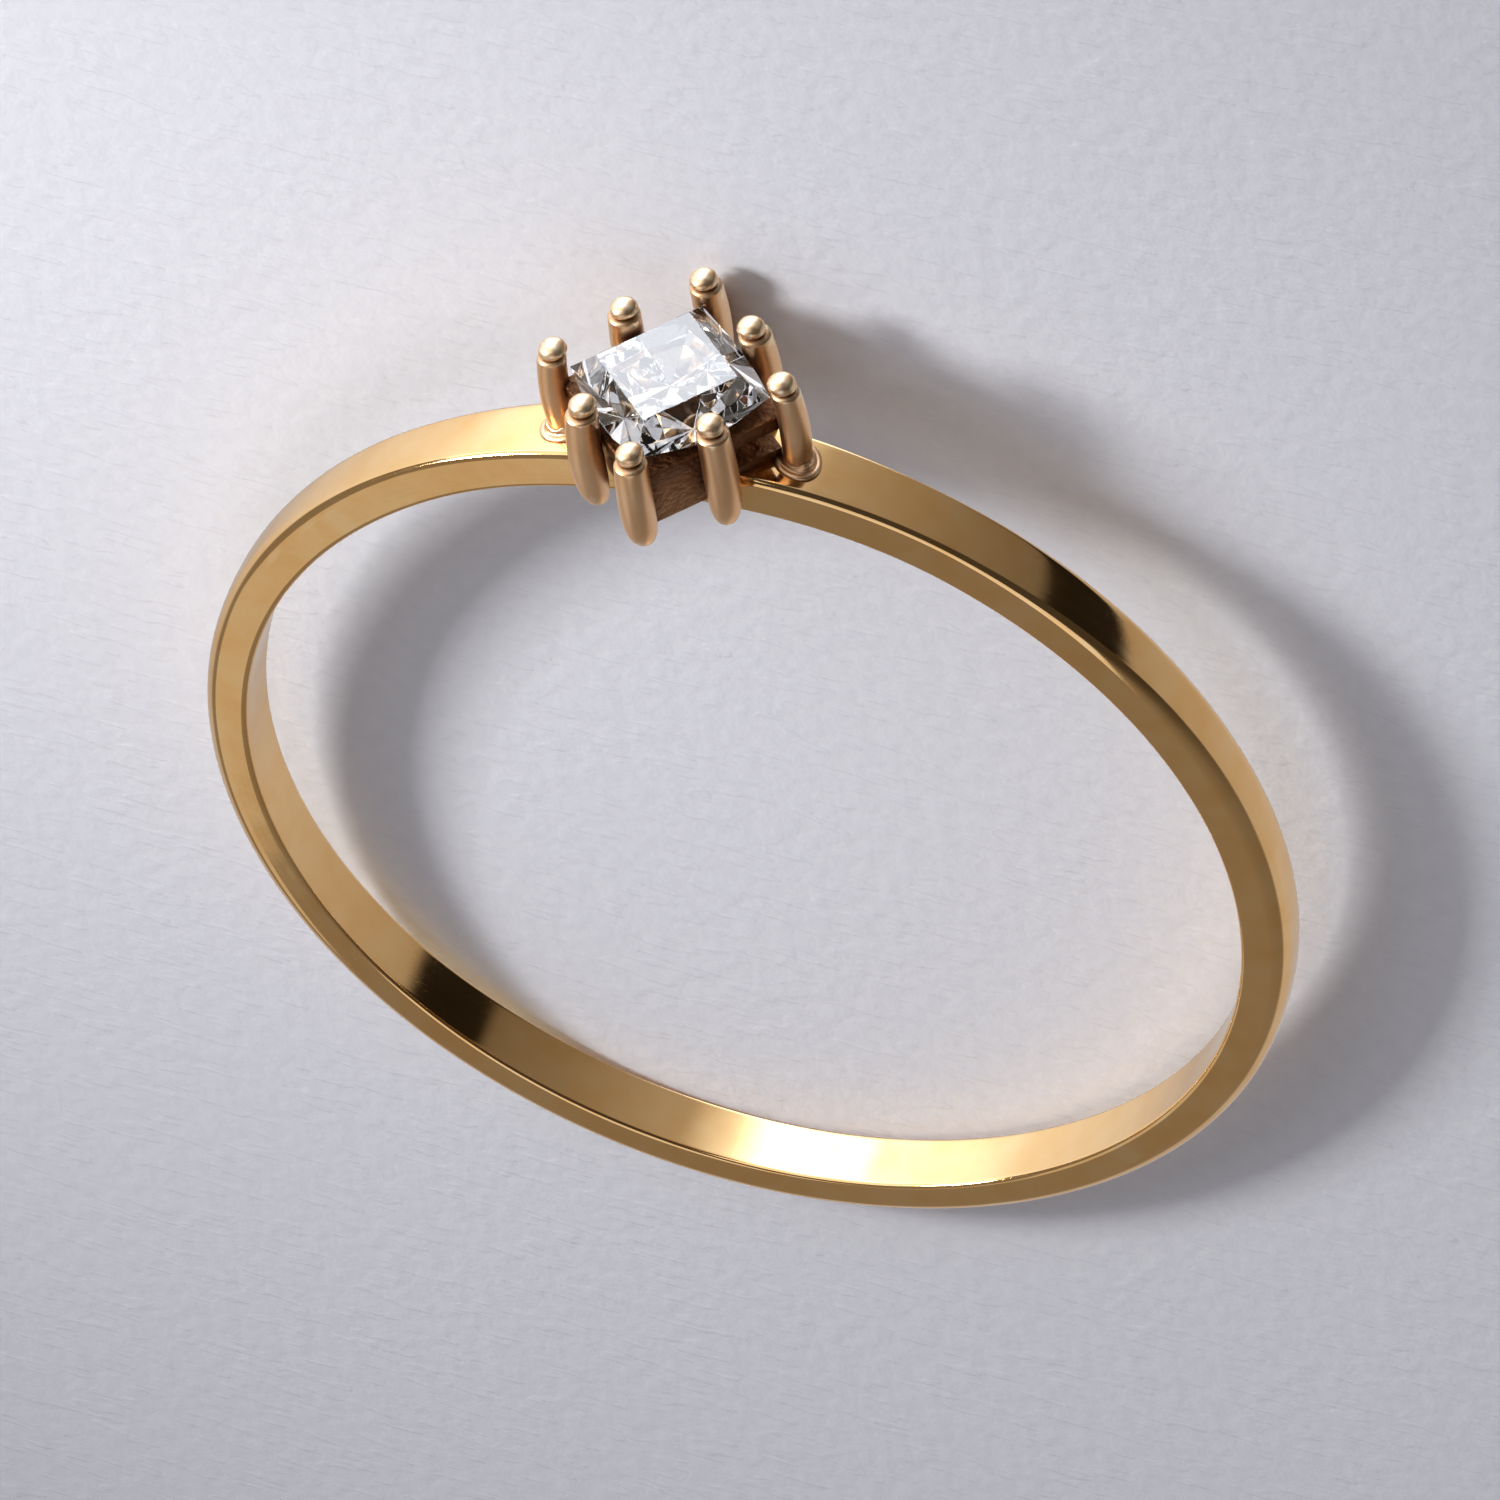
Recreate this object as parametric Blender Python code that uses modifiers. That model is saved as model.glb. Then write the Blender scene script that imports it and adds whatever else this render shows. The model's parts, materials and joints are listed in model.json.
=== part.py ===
"""Stackable ring: a thin band with a square stone held on its point in an eight-claw basket.

The ring is first modelled in a frame of its own: its axis along Z and the setting towards -Y,
with the height above the ring's centre measured along -Y. At the end it is laid on its side as
it rests by itself, on the back of the band and on the lowest claw.
"""

import math

import bmesh
import bpy
from mathutils import Matrix, Vector

MM = 0.001

# Band
FINGER_DIAMETER = 17.0 * MM
BAND_THICKNESS = 0.8 * MM
BAND_WIDTH = 1.1 * MM
BAND_CROWN = 0.02 * MM  # how far the middle of the outer face stands above its edges
SHOULDER_EDGE_RADIUS = 0.13 * MM  # of the outer edges, crisp beside the setting
BACK_EDGE_RADIUS = 0.36 * MM  # of the outer edges, worn round at the back
CRISP_REACH = 4.0 * MM  # from the setting's middle to where the outer edges start to round
ROUND_REACH = 12.0 * MM  # from the setting's middle to where they are fully round
INNER_EDGE_RADIUS = 0.08 * MM
SHOULDER_WIDTH = 1.35 * MM  # the band's width under the setting
SHOULDER_REACH = 5.0 * MM  # from the setting's middle to where the band has its plain width
BAND_STEPS = 96
OUTER_EDGE_STEPS = 4
INNER_EDGE_STEPS = 2

# Stone
STONE_SIDE = 2.57 * MM
TABLE_SIDE = 1.68 * MM
CROWN_HEIGHT = 0.52 * MM
GIRDLE_THICKNESS = 0.07 * MM
PAVILION_DEPTH = 0.98 * MM
STONE_LIFT = 1.08 * MM  # girdle above the outside of the band
CORNER_FACET_ANGLE = math.radians(40)
CHEVRON_TURN = math.radians(20)  # how far each pavilion facet is turned from its side
STEEPER_BREAK = 1.3  # the slope of the facets next to the girdle over that of the pavilion
STONE_GAP = 0.04 * MM  # between the stone and the metal that holds it

# Basket
WALL_PROUD = 0.05 * MM  # the top of the wall outside the girdle
WALL_DRAFT = 0.12 * MM  # how far each wall leans in towards its foot
SEAT_DROP = 0.2 * MM  # the top of the wall below the girdle
BASKET_FOOT_INSET = 0.35 * MM  # the basket's underside below the outside of the band
WINDOW_RISE = 0.06 * MM  # the windows' sill above the outside of the band
WINDOW_HEIGHT = 0.5 * MM
WINDOW_WIDTH = 1.5 * MM  # across the claw in the middle of each pair of windows
BASKET_BEVEL = 0.05 * MM

# Claws
CLAW_DIAMETER = 0.58 * MM
SHOULDER_CLAW_DIAMETER = 0.5 * MM  # the two slimmer claws that stand on the band
TIP_DIAMETER = 0.46 * MM
TIP_DOME = 0.16 * MM  # how far the tip's dome rises over its widest point
CORNER_CLAW_OUTSET = 0.095 * MM  # tip centre outside the stone's corner
SIDE_CLAW_OUTSET = 0.22 * MM  # tip centre outside the stone's side
TIP_RISE = 0.5 * MM  # the tip's widest point above the girdle
CLAW_BOW = 0.11 * MM  # how far the body bulges out past the tip and the foot
CORNER_FOOT_INSET = 0.45 * MM  # the corner claws' feet below the outside of the band
SIDE_FOOT_INSET = 0.65 * MM  # and the side claws' feet
CLAW_SIDES = 14

# Solder collars
COLLAR_DIAMETER = 0.86 * MM
COLLAR_NECK = 0.44 * MM  # the collar's diameter at its top
COLLAR_HEIGHT = 0.2 * MM

# The claw's body from foot to tip: share of the body's length, share of the body's radius
CLAW_SECTIONS = (
    (0.0, 0.3),
    (0.03, 0.55),
    (0.1, 0.78),
    (0.22, 0.93),
    (0.4, 1.0),
    (0.6, 1.0),
    (0.8, 0.94),
)
TIP_STEPS = 5

SEAM_DISTANCE = 1e-7  # points nearer than this are one at the seam of a turned piece
CUT_DISTANCE = 1e-9  # points nearer than this to a facet's plane lie on it
LEVELLING_ROUNDS = 6
SHARP_ANGLE = math.radians(40)

GOLD = ("polished_gold", (0.83, 0.58, 0.27, 1.0), 1.0, 0.12)
CLEAR = ("clear_stone", (0.95, 0.96, 0.97, 1.0), 0.0, 0.02)

FINGER_RADIUS = FINGER_DIAMETER / 2
OUTER_RADIUS = FINGER_RADIUS + BAND_THICKNESS
GIRDLE_LEVEL = OUTER_RADIUS + STONE_LIFT
HALF_SIDE = STONE_SIDE / 2
HALF_DIAGONAL = HALF_SIDE * math.sqrt(2)
RAIL_LEVEL = GIRDLE_LEVEL - SEAT_DROP
TIP_LEVEL = GIRDLE_LEVEL + TIP_RISE
CORNER_FOOT_LEVEL = OUTER_RADIUS - CORNER_FOOT_INSET
SIDE_FOOT_LEVEL = OUTER_RADIUS - SIDE_FOOT_INSET

# Takes a piece made around +Z, with the stone's height along Z, to the setting at -Y
TO_SETTING = Matrix.Rotation(math.radians(90), 4, "X")


def clear_scene():
    for item in list(bpy.data.objects):
        bpy.data.objects.remove(item, do_unlink=True)


def new_collection(name):
    made = bpy.data.collections.new(name)
    bpy.context.scene.collection.children.link(made)
    return made


def principled(name, colour, metallic, roughness):
    material = bpy.data.materials.new(name)
    material.use_nodes = True
    shader = material.node_tree.nodes["Principled BSDF"]
    shader.inputs["Base Color"].default_value = colour
    shader.inputs["Metallic"].default_value = metallic
    shader.inputs["Roughness"].default_value = roughness
    return material


def object_from(mesh_source, name, collection):
    """An object of a bmesh, which is freed."""
    bmesh.ops.recalc_face_normals(mesh_source, faces=mesh_source.faces)
    mesh = bpy.data.meshes.new(name)
    mesh_source.to_mesh(mesh)
    mesh_source.free()
    made = bpy.data.objects.new(name, mesh)
    collection.objects.link(made)
    return made


def apply_modifiers(item):
    """The object with its modifiers worked into its mesh."""
    graph = bpy.context.evaluated_depsgraph_get()
    mesh = bpy.data.meshes.new_from_object(item.evaluated_get(graph))
    item.modifiers.clear()
    item.data = mesh
    return item


def turned(name, profile, steps, collection):
    """A closed or pole-to-pole profile of (radius, height) turned about Z."""
    closed = min(radius for radius, _ in profile) > 0
    mesh = bpy.data.meshes.new(name)
    count = len(profile)
    edges = [(i, (i + 1) % count) for i in range(count if closed else count - 1)]
    mesh.from_pydata([(radius, 0.0, height) for radius, height in profile], edges, [])
    made = bpy.data.objects.new(name, mesh)
    collection.objects.link(made)
    screw = made.modifiers.new("Turn", "SCREW")
    screw.steps = steps
    screw.render_steps = steps
    screw.use_merge_vertices = True
    screw.merge_threshold = SEAM_DISTANCE
    return apply_modifiers(made)


def combine(target, other, operation):
    """Joins or cuts the target with another object, in one exact Boolean."""
    boolean = target.modifiers.new(other.name, "BOOLEAN")
    boolean.object = other
    boolean.operation = operation
    boolean.solver = "EXACT"
    return apply_modifiers(target)


def as_cutter(item):
    item.hide_render = True
    item.display_type = "WIRE"
    return item


def arc(centre, radius, start, end, steps):
    """Points of an arc about (radius, height), angles in degrees from straight out."""
    points = []
    for step in range(steps + 1):
        angle = math.radians(start + (end - start) * step / steps)
        points.append((centre[0] + radius * math.cos(angle), centre[1] + radius * math.sin(angle)))
    return points


def band_profile():
    """The band's section as (radius, height), from its inner face over the top and down."""
    half = BAND_WIDTH / 2
    outer = OUTER_RADIUS - BAND_CROWN - SHOULDER_EDGE_RADIUS
    inner = FINGER_RADIUS + INNER_EDGE_RADIUS
    high = half - SHOULDER_EDGE_RADIUS
    low = half - INNER_EDGE_RADIUS
    profile = arc((inner, low), INNER_EDGE_RADIUS, 180, 90, INNER_EDGE_STEPS)
    profile += arc((outer, high), SHOULDER_EDGE_RADIUS, 90, 0, OUTER_EDGE_STEPS)
    profile.append((OUTER_RADIUS, 0.0))
    profile += arc((outer, -high), SHOULDER_EDGE_RADIUS, 0, -90, OUTER_EDGE_STEPS)
    profile += arc((inner, -low), INNER_EDGE_RADIUS, -90, -180, INNER_EDGE_STEPS)
    return profile


def shoulder_width(along):
    """The band's width at a distance along it from the middle of the setting."""
    share = min(along / SHOULDER_REACH, 1.0)
    return BAND_WIDTH + (SHOULDER_WIDTH - BAND_WIDTH) * math.cos(share * math.pi / 2) ** 2


def edge_radius(along):
    """The radius of the band's outer edges at a distance along it from the setting."""
    share = (along - CRISP_REACH) / (ROUND_REACH - CRISP_REACH)
    share = math.sin(min(max(share, 0.0), 1.0) * math.pi / 2) ** 2
    return SHOULDER_EDGE_RADIUS + (BACK_EDGE_RADIUS - SHOULDER_EDGE_RADIUS) * share


def make_band(collection):
    """The turned band, with its width and the rounding of its outer edges set all along it."""
    band = turned("band", band_profile(), BAND_STEPS, collection)
    rim = OUTER_RADIUS - BAND_CROWN
    for vertex in band.data.vertices:
        radius = math.hypot(vertex.co.x, vertex.co.y)
        along = math.atan2(abs(vertex.co.x), -vertex.co.y) * OUTER_RADIUS
        inset = BAND_WIDTH / 2 - abs(vertex.co.z)
        if inset > SHOULDER_EDGE_RADIUS + SEAM_DISTANCE:
            continue  # the middle line of the outer face
        if radius > rim - SHOULDER_EDGE_RADIUS - SEAM_DISTANCE:
            growth = edge_radius(along) / SHOULDER_EDGE_RADIUS
            inset *= growth
            vertex.co.xy *= (rim - (rim - radius) * growth) / radius
        vertex.co.z = math.copysign(shoulder_width(along) / 2 - inset, vertex.co.z)
    return band


def stone_facets():
    """Each facet as (turn about the stone's axis, slope, distance from the girdle's centre)."""
    rim = GIRDLE_THICKNESS / 2
    side_run = (STONE_SIDE - TABLE_SIDE) / 2
    side_slope = math.atan2(CROWN_HEIGHT - rim, side_run)
    pavilion_slope = math.atan2(PAVILION_DEPTH - rim, HALF_SIDE)
    facets = [(0.0, 0.0, CROWN_HEIGHT)]  # the table
    for quarter in range(4):
        side = math.radians(45 + 90 * quarter)
        corner = math.radians(90 * quarter)
        facets.append((side, math.pi / 2, HALF_SIDE))
        reach = HALF_SIDE * math.sin(side_slope) + rim * math.cos(side_slope)
        facets.append((side, side_slope, reach))
        corner_reach = HALF_DIAGONAL * math.sin(CORNER_FACET_ANGLE)
        facets.append((corner, CORNER_FACET_ANGLE, corner_reach + rim * math.cos(CORNER_FACET_ANGLE)))
        for turn in (-CHEVRON_TURN, CHEVRON_TURN):
            # Both facets of a side pass through the culet and meet on a rib down its middle
            reach = PAVILION_DEPTH * math.cos(pavilion_slope)
            facets.append((side + turn, math.pi - pavilion_slope, reach))
        steeper = pavilion_slope * STEEPER_BREAK
        facets.append((side, math.pi - steeper, below_girdle(steeper)))
    return facets


def below_girdle(slope):
    """The distance of a pavilion facet that starts at the girdle's lower edge."""
    return HALF_SIDE * math.sin(slope) + GIRDLE_THICKNESS / 2 * math.cos(slope)


def make_stone(name, gap, collection):
    """The stone ground facet by facet from a block, with every facet moved out by the gap."""
    stone = bmesh.new()
    block = 2 * (HALF_DIAGONAL + PAVILION_DEPTH)
    bmesh.ops.create_cube(stone, size=block)
    for turn, slope, reach in stone_facets():
        across = Vector((math.cos(turn), math.sin(turn), 0.0))
        normal = across * math.sin(slope) + Vector((0.0, 0.0, math.cos(slope)))
        everything = stone.verts[:] + stone.edges[:] + stone.faces[:]
        cut = bmesh.ops.bisect_plane(
            stone,
            geom=everything,
            dist=CUT_DISTANCE,
            plane_co=normal * (reach + gap),
            plane_no=normal,
            clear_outer=True,
        )
        rim = [item for item in cut["geom_cut"] if isinstance(item, bmesh.types.BMEdge)]
        if rim:
            bmesh.ops.contextual_create(stone, geom=rim)
    bmesh.ops.translate(stone, vec=(0.0, 0.0, GIRDLE_LEVEL), verts=stone.verts)
    bmesh.ops.transform(stone, matrix=TO_SETTING, verts=stone.verts)
    return object_from(stone, name, collection)


def make_basket(collection):
    """The tapered square wall under the stone, with its corners towards the band and the axis."""
    foot_level = OUTER_RADIUS - BASKET_FOOT_INSET
    top_reach = (HALF_SIDE + WALL_PROUD) * math.sqrt(2)
    foot_reach = (HALF_SIDE + WALL_PROUD - WALL_DRAFT) * math.sqrt(2)
    basket = bmesh.new()
    height = RAIL_LEVEL - foot_level
    bmesh.ops.create_cone(
        basket, cap_ends=True, segments=4, radius1=foot_reach, radius2=top_reach, depth=height
    )
    bmesh.ops.translate(basket, vec=(0.0, 0.0, (RAIL_LEVEL + foot_level) / 2), verts=basket.verts)
    bmesh.ops.bevel(basket, geom=basket.edges[:], offset=BASKET_BEVEL, segments=1, affect="EDGES")
    bmesh.ops.transform(basket, matrix=TO_SETTING, verts=basket.verts)
    return object_from(basket, "basket", collection)


def make_window_cutter(collection):
    """One slot along the band's line, which opens a window on each side of both shoulder claws."""
    sill = OUTER_RADIUS + WINDOW_RISE
    cutter = bmesh.new()
    bmesh.ops.create_cube(cutter, size=1.0)
    bmesh.ops.scale(cutter, vec=(2 * STONE_SIDE, WINDOW_WIDTH, WINDOW_HEIGHT), verts=cutter.verts)
    bmesh.ops.translate(cutter, vec=(0.0, 0.0, sill + WINDOW_HEIGHT / 2), verts=cutter.verts)
    bmesh.ops.transform(cutter, matrix=TO_SETTING, verts=cutter.verts)
    return as_cutter(object_from(cutter, "window_cutter", collection))


def claw_profile(foot_level, diameter):
    """The claw as (radius, height), from the top of its ball tip down to its foot."""
    length = TIP_LEVEL - foot_level
    profile = [(0.0, TIP_LEVEL + TIP_DOME)]
    for step in range(1, TIP_STEPS + 1):
        angle = math.pi / 2 * step / TIP_STEPS
        profile.append((TIP_DIAMETER / 2 * math.sin(angle), TIP_LEVEL + TIP_DOME * math.cos(angle)))
    for share, width in reversed(CLAW_SECTIONS):
        profile.append((diameter / 2 * width, foot_level + length * share))
    profile.append((0.0, foot_level))
    return profile


def make_claw(name, turn, place, diameter, collection):
    """A claw with its tip's distance from the stone's axis and its foot's level as its place."""
    reach, foot_level = place
    claw = turned(name, claw_profile(foot_level, diameter), CLAW_SIDES, collection)
    length = TIP_LEVEL - foot_level
    for vertex in claw.data.vertices:
        share = min(max((vertex.co.z - foot_level) / length, 0.0), 1.0)
        vertex.co.x += reach + CLAW_BOW * math.sin(math.pi * share)
    claw.data.transform(TO_SETTING @ Matrix.Rotation(turn, 4, "Z"))
    return claw


def make_collar(name, turn, reach, collection):
    """The small cone of solder around a shoulder claw, down into the band."""
    surface = math.sqrt(OUTER_RADIUS**2 - reach**2)
    collar = bmesh.new()
    bmesh.ops.create_cone(
        collar,
        cap_ends=True,
        segments=CLAW_SIDES,
        radius1=COLLAR_DIAMETER / 2,
        radius2=COLLAR_NECK / 2,
        depth=2 * COLLAR_HEIGHT,
    )
    bmesh.ops.translate(collar, vec=(reach, 0.0, surface), verts=collar.verts)
    bmesh.ops.transform(collar, matrix=TO_SETTING @ Matrix.Rotation(turn, 4, "Z"), verts=collar.verts)
    return object_from(collar, name, collection)


def make_metal(parts, cutters):
    """Band, basket, claws and collars joined, then cut for the windows and the stone's seat."""
    metal = make_band(parts)
    metal.name = "ring_band_with_setting"
    basket = make_basket(cutters)
    combine(basket, make_window_cutter(cutters), "DIFFERENCE")
    pieces = [basket]
    at_corner = (HALF_DIAGONAL + CORNER_CLAW_OUTSET, CORNER_FOOT_LEVEL)
    at_side = (HALF_SIDE + SIDE_CLAW_OUTSET, SIDE_FOOT_LEVEL)
    for half in range(2):
        along = math.radians(180 * half)
        across = math.radians(90 + 180 * half)
        pieces.append(make_claw(f"shoulder_claw_{half}", along, at_corner, SHOULDER_CLAW_DIAMETER, cutters))
        pieces.append(make_claw(f"corner_claw_{half}", across, at_corner, CLAW_DIAMETER, cutters))
        pieces.append(make_collar(f"collar_{half}", along, at_corner[0], cutters))
    for quarter in range(4):
        side = math.radians(45 + 90 * quarter)
        pieces.append(make_claw(f"side_claw_{quarter}", side, at_side, CLAW_DIAMETER, cutters))
    for piece in pieces:
        combine(metal, piece, "UNION")
        bpy.data.objects.remove(piece, do_unlink=True)
    seat = as_cutter(make_stone("seat_cutter", STONE_GAP, cutters))
    return combine(metal, seat, "DIFFERENCE")


def lowest(points, turn):
    """The lowest of the points after a turn about X."""
    matrix = Matrix.Rotation(turn, 3, "X")
    return min(points, key=lambda point: (matrix @ point).z)


def resting_turn(points):
    """The turn about X that puts the lowest claw and the back of the band on one level."""
    front = [point for point in points if point.y < 0]
    back = [point for point in points if point.y > 0]
    turn = 0.0
    for _ in range(LEVELLING_ROUNDS):
        claw = lowest(front, turn)
        heel = lowest(back, turn)
        turn = -math.atan2(heel.z - claw.z, heel.y - claw.y)
    return turn


def lay_down(items):
    """Lays the ring on its side, with the middle of its underside at the origin."""
    points = [vertex.co.copy() for item in items for vertex in item.data.vertices]
    tilt = Matrix.Rotation(resting_turn(points), 4, "X")
    laid = [tilt @ point for point in points]
    low = [min(point[axis] for point in laid) for axis in range(3)]
    high = [max(point[axis] for point in laid) for axis in range(3)]
    place = Matrix.Translation((-(low[0] + high[0]) / 2, -(low[1] + high[1]) / 2, -low[2]))
    for item in items:
        item.data.transform(place @ tilt)


def finish(item, material):
    item.data.materials.clear()
    item.data.materials.append(principled(*material))
    item.data.update()


def main():
    clear_scene()
    parts = new_collection("stackable_ring")
    cutters = new_collection("cutters")
    metal = make_metal(parts, cutters)
    stone = make_stone("square_stone", 0.0, parts)
    lay_down([metal, stone])
    finish(metal, GOLD)
    finish(stone, CLEAR)
    metal.data.shade_smooth()
    metal.data.set_sharp_from_angle(angle=SHARP_ANGLE)


main()
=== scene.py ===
import json
import math

import bmesh
import bpy
from mathutils import Matrix, Vector


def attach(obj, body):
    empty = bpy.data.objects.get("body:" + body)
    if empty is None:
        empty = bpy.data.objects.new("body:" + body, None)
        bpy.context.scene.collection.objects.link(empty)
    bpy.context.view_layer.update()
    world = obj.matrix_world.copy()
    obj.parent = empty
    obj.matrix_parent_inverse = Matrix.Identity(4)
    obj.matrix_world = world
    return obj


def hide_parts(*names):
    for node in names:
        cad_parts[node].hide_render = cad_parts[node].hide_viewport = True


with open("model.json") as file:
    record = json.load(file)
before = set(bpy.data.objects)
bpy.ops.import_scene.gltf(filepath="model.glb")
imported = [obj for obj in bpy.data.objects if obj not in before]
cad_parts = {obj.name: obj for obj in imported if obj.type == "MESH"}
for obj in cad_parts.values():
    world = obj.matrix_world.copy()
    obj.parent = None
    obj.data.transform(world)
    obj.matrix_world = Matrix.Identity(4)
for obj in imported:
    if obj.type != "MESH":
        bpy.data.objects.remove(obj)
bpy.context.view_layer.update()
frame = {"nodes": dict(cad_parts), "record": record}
print("frame loaded")

# Sizes are in millimetres and degrees. Pieces are made with the ring's axis along Z, its centre at
# the origin and the setting towards -Y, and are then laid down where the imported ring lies. The
# band's and the stone's sizes stand first, because all the other pieces are fitted to them.
perMetre = 1000.0

bandSize = {
    "fingerRadius": 8.5,
    "thickness": 0.8,
    "width": 1.1,
    "crown": 0.014,  # the middle of the outer face above where the rounded edges start
    "shoulderEdge": 0.13,  # radius of the outer edges beside the setting
    "backEdge": 0.36,  # and at the back
    "crispReach": 4.0,  # from the setting's middle to where the edges start to round
    "roundReach": 12.0,
    "innerEdge": 0.08,
    "shoulderWidth": 1.35,
    "shoulderReach": 5.0,
    "polish": 0.01,  # how far the finished face stays inside the plain size
    "margin": 0.02,  # strip beside each edge that keeps its shading off the flat face
    "turns": 288,
    "outerSteps": 9,
    "innerSteps": 4,
    "crownSteps": 5,
}
outerRadius = bandSize["fingerRadius"] + bandSize["thickness"]

stoneSize = {
    "side": 2.57,
    "table": 1.68,
    "crown": 0.52,
    "girdle": 0.07,
    "pavilion": 0.98,
    "lift": 1.08,  # girdle above the outside of the band
    "cornerAngle": 40.0,
    "chevronTurn": 20.0,
    "lowerStep": 1.3,  # slope of the facets under the girdle, against the main ones
    "gap": 0.04,
    "edge": 0.006,
    "block": 8.0,
}
girdleLevel = outerRadius + stoneSize["lift"]
halfSide = stoneSize["side"] / 2
halfDiagonal = halfSide * math.sqrt(2)

toSetting = Matrix.Rotation(math.radians(90), 4, "X")  # from around +Z to the setting at -Y

face = frame["record"]["mounts"][0]  # the band's flat side, which gives the lean and the centre
faceMark = {"aside": 0.1, "thicknessShare": 0.3}  # where the mount's point lies on that side
lean = Matrix.Rotation(math.atan2(face["axis"][1], -face["axis"][2]), 4, "X")
onFace = Vector((
    faceMark["aside"],
    bandSize["fingerRadius"] + faceMark["thicknessShare"] * bandSize["thickness"],
    -bandSize["width"] / 2,
))
ringCentre = Vector(face["pos_m"]) - lean @ (onFace / perMetre)
layDown = Matrix.Translation(ringCentre) @ lean @ Matrix.Scale(1 / perMetre, 4)


# Making and finishing a piece

meshRules = {
    "mergeDistance": 0.0004,
    "bevelAngle": 35.0,
    "sharpAngle": 38.0,
    "smoothSteps": 3,
}


def arcPoints(centre, radius, start, end, steps):
    angles = [math.radians(start + (end - start) * step / steps) for step in range(steps + 1)]
    return [(centre[0] + radius * math.cos(a), centre[1] + radius * math.sin(a)) for a in angles]


# A smooth curve through points given as (radius, height)
def smoothLine(points):
    line = []
    padded = [points[0]] + points + [points[-1]]
    for around in zip(padded, padded[1:], padded[2:], padded[3:]):
        for step in range(meshRules["smoothSteps"]):
            t = step / meshRules["smoothSteps"]
            weights = (
                -t + 2 * t**2 - t**3, 2 - 5 * t**2 + 3 * t**3, t + 4 * t**2 - 3 * t**3, t**3 - t**2
            )
            line.append(tuple(
                sum(w * point[axis] for w, point in zip(weights, around)) / 2 for axis in (0, 1)
            ))
    return line + [points[-1]]


def spunShape(profile, turns, closed):
    bm = bmesh.new()
    rim = [bm.verts.new((radius, 0, height)) for radius, height in profile]
    for start, end in zip(rim, rim[1:] + rim[:1] if closed else rim[1:]):
        bm.edges.new((start, end))
    bmesh.ops.spin(
        bm, geom=bm.verts[:] + bm.edges[:], cent=(0, 0, 0), axis=(0, 0, 1),
        angle=math.tau, steps=turns, use_merge=True,
    )
    return bm


def objectFrom(bm, name):
    bmesh.ops.remove_doubles(bm, verts=bm.verts[:], dist=meshRules["mergeDistance"])
    bmesh.ops.recalc_face_normals(bm, faces=bm.faces[:])
    mesh = bpy.data.meshes.new(name)
    bm.to_mesh(mesh)
    bm.free()
    piece = bpy.data.objects.new(name, mesh)
    bpy.context.scene.collection.objects.link(piece)
    return piece


def bakeModifiers(piece):
    graph = bpy.context.evaluated_depsgraph_get()
    mesh = bpy.data.meshes.new_from_object(piece.evaluated_get(graph))
    piece.modifiers.clear()
    piece.data = mesh


def cutAway(piece, cutter):
    boolean = piece.modifiers.new("cut", "BOOLEAN")
    boolean.object = cutter
    boolean.operation = "DIFFERENCE"
    boolean.solver = "EXACT"
    bakeModifiers(piece)


def softenEdges(piece, width, segments):
    bevel = piece.modifiers.new("edges", "BEVEL")
    bevel.width = width
    bevel.segments = segments
    bevel.limit_method = "ANGLE"
    bevel.angle_limit = math.radians(meshRules["bevelAngle"])
    bevel.use_clamp_overlap = True
    bakeModifiers(piece)


def finishPiece(piece, material, node, smooth=True):
    piece.data.transform(layDown)
    piece.data.materials.clear()
    piece.data.materials.append(material)
    if smooth:
        piece.data.shade_smooth()
        piece.data.set_sharp_from_angle(angle=math.radians(meshRules["sharpAngle"]))
    else:
        piece.data.shade_flat()
    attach(piece, "root")
    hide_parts(node)


def finishGold(piece, material):
    finishPiece(piece, material, "ring_band_with_setting")


# Nodes

def addNode(tree, kind, inputs=None, **settings):
    node = tree.nodes.new(kind)
    for key, value in settings.items():
        setattr(node, key, value)
    for key, value in (inputs or {}).items():
        if isinstance(value, bpy.types.NodeSocket):
            tree.links.new(value, node.inputs[key])
        else:
            node.inputs[key].default_value = value
    return node


def maths(tree, operation, *values, clamp=False):
    inputs = dict(enumerate(values))
    node = addNode(tree, "ShaderNodeMath", inputs, operation=operation, use_clamp=clamp)
    return node.outputs[0]


def ranged(tree, value, fromMin=0.0, fromMax=1.0, toMin=0.0, toMax=1.0):
    inputs = {
        "Value": value, "From Min": fromMin, "From Max": fromMax, "To Min": toMin, "To Max": toMax,
    }
    return addNode(tree, "ShaderNodeMapRange", inputs).outputs["Result"]


def noise(tree, place, scale, detail):
    inputs = {"Vector": place, "Scale": scale, "Detail": detail}
    return addNode(tree, "ShaderNodeTexNoise", inputs).outputs["Fac"]


def mixColour(tree, share, first, second):
    inputs = {0: share, 6: first, 7: second}
    node = addNode(tree, "ShaderNodeMix", inputs, data_type="RGBA", clamp_factor=True)
    return node.outputs[2]


def bumped(tree, height, distance, normal=None):
    inputs = {"Height": height, "Distance": distance / perMetre, "Strength": 1.0}
    node = addNode(tree, "ShaderNodeBump", inputs)
    if normal is not None:
        tree.links.new(normal, node.inputs["Normal"])
    return node.outputs["Normal"]


def millimetres(tree):
    inputs = {0: addNode(tree, "ShaderNodeTexCoord").outputs["Object"], "Scale": perMetre}
    return addNode(tree, "ShaderNodeVectorMath", inputs, operation="SCALE").outputs["Vector"]


# Shared effects, each a node group that works in millimetres

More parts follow.
